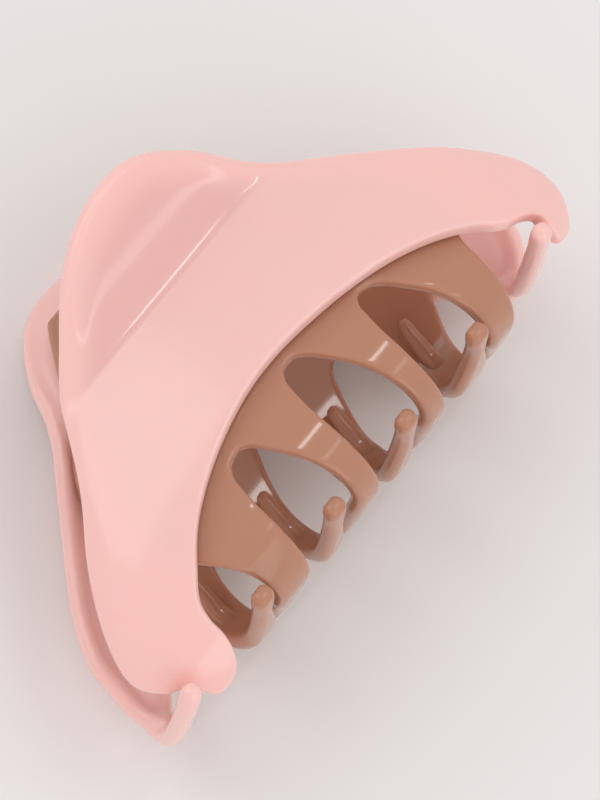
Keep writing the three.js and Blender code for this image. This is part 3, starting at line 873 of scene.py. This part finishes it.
def build_shell(body, side, arms, hooks, turned):
    shell = new_object(side + "_shell_skin", *merged(shell_sheet(arms), *map(limb_mesh, hooks)), turned)
    subdivide(shell)
    if hooks:
        fused(shell)
    # Painted light: lighter pink where nothing lies behind the shell, as light shining through it.
    paint(shell, "lining", over_lining)
    # Painted shade in the thumb tab's dish.
    paint(shell, "dish", dish_shade_mask(edge_points(arms)))
    dress(shell, pink, body, "shell_plastic", side + "_shell")


def build_comb(body, side, turned):
    comb_parts = merged(comb_sheet(), *(finger(tooth) for tooth in range(TOOTH_COUNT)))
    comb = new_object(side + "_comb_skin", *comb_parts, turned)
    subdivide(comb)
    dress(comb, brown, body, "comb_plastic", side + "_comb")


def build_lugs(body, side, turned):
    both = merged(lug(LUG_OUTER_X), lug(-LUG_INNER_X - LUG_THICKNESS))
    lugs = new_object(side + "_lugs", *both, turned)
    edge = lugs.modifiers.new("edge", "BEVEL")
    edge.width = LUG_EDGE * MM
    edge.segments = LUG_EDGE_SEGMENTS
    edge.limit_method = "ANGLE"
    dress(lugs, brown, body, "comb_plastic")


for body, (side, arms, hooks, turned) in SHELL_PARTS.items():
    build_shell(body, side, arms, hooks, turned)
    build_comb(body, side, turned)
    build_lugs(body, side, turned)

pin = new_object("hinge_pin_body", *pin_mesh())
dress(pin, pin_steel, "back_jaw", "pin_steel", "hinge_pin")
back_wire = [*reversed(leg_path(False)), *coil_path()[1:]]
coil = new_object("spring_coil", *tube_mesh(back_wire, SPRING_WIRE / 2))
dress(coil, wire_steel, "back_jaw", "spring_steel", "torsion_spring")
front_wire = [coil_path()[-2], *leg_path(True)]
front_leg = new_object("spring_front_leg", *tube_mesh(front_wire, SPRING_WIRE / 2))
dress(front_leg, wire_steel, "front_jaw", "spring_steel")


# ---- Floor, light and camera ----
bpy.context.scene.view_settings.view_transform = "Standard"


def area_light(name, place, target, size, power, long_axis):
    """A soft rectangle of light at place, facing target, its first side as near long_axis as it can be."""
    data = bpy.data.lights.new(name, "AREA")
    data.shape = "RECTANGLE"
    data.size, data.size_y = size
    data.energy = power
    light = bpy.data.objects.new(name, data)
    away = (place - target).normalized()
    side = (long_axis - away * long_axis.dot(away)).normalized()
    turn = Matrix((side, away.cross(side), away)).transposed().to_4x4()
    light.matrix_world = Matrix.Translation(place) @ turn
    bpy.context.scene.collection.objects.link(light)


FLOOR_HALF = 3 # metres
PAPER_WHITE = (0.86, 0.835, 0.83)
PAPER_ROUGHNESS = 0.9
SKY_WHITE = (1, 0.99, 0.985)
SKY_STRENGTH = 0.8

floor_mesh = bpy.data.meshes.new("floor")
floor_corners = [(FLOOR_HALF * x, FLOOR_HALF * y, 0) for x, y in ((-1, -1), (1, -1), (1, 1), (-1, 1))]
floor_mesh.from_pydata(floor_corners, [], [[0, 1, 2, 3]])
floor = bpy.data.objects.new("floor", floor_mesh)
bpy.context.scene.collection.objects.link(floor)
paper = bpy.data.materials.new("pale_paper")
paper.use_nodes = True
paper_shader = paper.node_tree.nodes["Principled BSDF"]
paper_shader.inputs["Base Color"].default_value = (*PAPER_WHITE, 1)
paper_shader.inputs["Roughness"].default_value = PAPER_ROUGHNESS
floor_mesh.materials.append(paper)

world = bpy.data.worlds.new("studio")
bpy.context.scene.world = world
world.use_nodes = True
sky = world.node_tree.nodes["Background"]
sky.inputs["Color"].default_value = (*SKY_WHITE, 1)
sky.inputs["Strength"].default_value = SKY_STRENGTH

CAMERA_RIGHT = Vector((0.6058, -0.7857, 0.1254))
CAMERA_BACK = Vector((-0.2965, -0.0767, 0.9519))
CAMERA_DISTANCE = 1429
AIM_RIGHT = 12.38 # the picture's centre, from the clip's own origin
AIM_UP = -7.11
SENSOR_MM = 36
FOCAL_LENGTH_MM = 412.8
CLIP_END = 20 # metres


def place_camera():
    data = bpy.data.cameras.new("camera")
    data.sensor_fit = "VERTICAL"
    data.sensor_height = SENSOR_MM
    data.lens = FOCAL_LENGTH_MM
    data.clip_end = CLIP_END
    camera = bpy.data.objects.new("camera", data)
    back = CAMERA_BACK.normalized()
    right = (CAMERA_RIGHT - back * CAMERA_RIGHT.dot(back)).normalized()
    up = back.cross(right)
    turn = Matrix((right, up, back)).transposed().to_4x4()
    aim = CLIP_ORIGIN + (AIM_RIGHT * right + AIM_UP * up) * MM
    camera.matrix_world = Matrix.Translation(aim + back * CAMERA_DISTANCE * MM) @ turn
    bpy.context.scene.collection.objects.link(camera)
    bpy.context.scene.camera = camera
    return right, up, back, aim


right, up, back, aim = place_camera()

LIGHT_DISTANCE = 1.25 # metres


def studio_light(name, direction, size, power, long_axis=(1, 0, 0)):
    """An area light in a direction given as seen from the camera: right, up and back."""
    across, above, towards = Vector(direction).normalized()
    place = aim + (right * across + up * above + back * towards) * LIGHT_DISTANCE
    area_light(name, place, aim, size, power, Vector(long_axis))


studio_light("window", (-0.54, 0.54, 0.64), (0.9, 0.9), 2.2)
studio_light("crease_strip", (0.315, 0.475, 0.827), (0.3, 0.08), 0.7)
studio_light("fill", (0.62, -0.62, 0.48), (0.9, 0.9), 2.2)
studio_light("dish_strip", (0.7, 0.11, 0.71), (0.5, 0.12), 0.3)
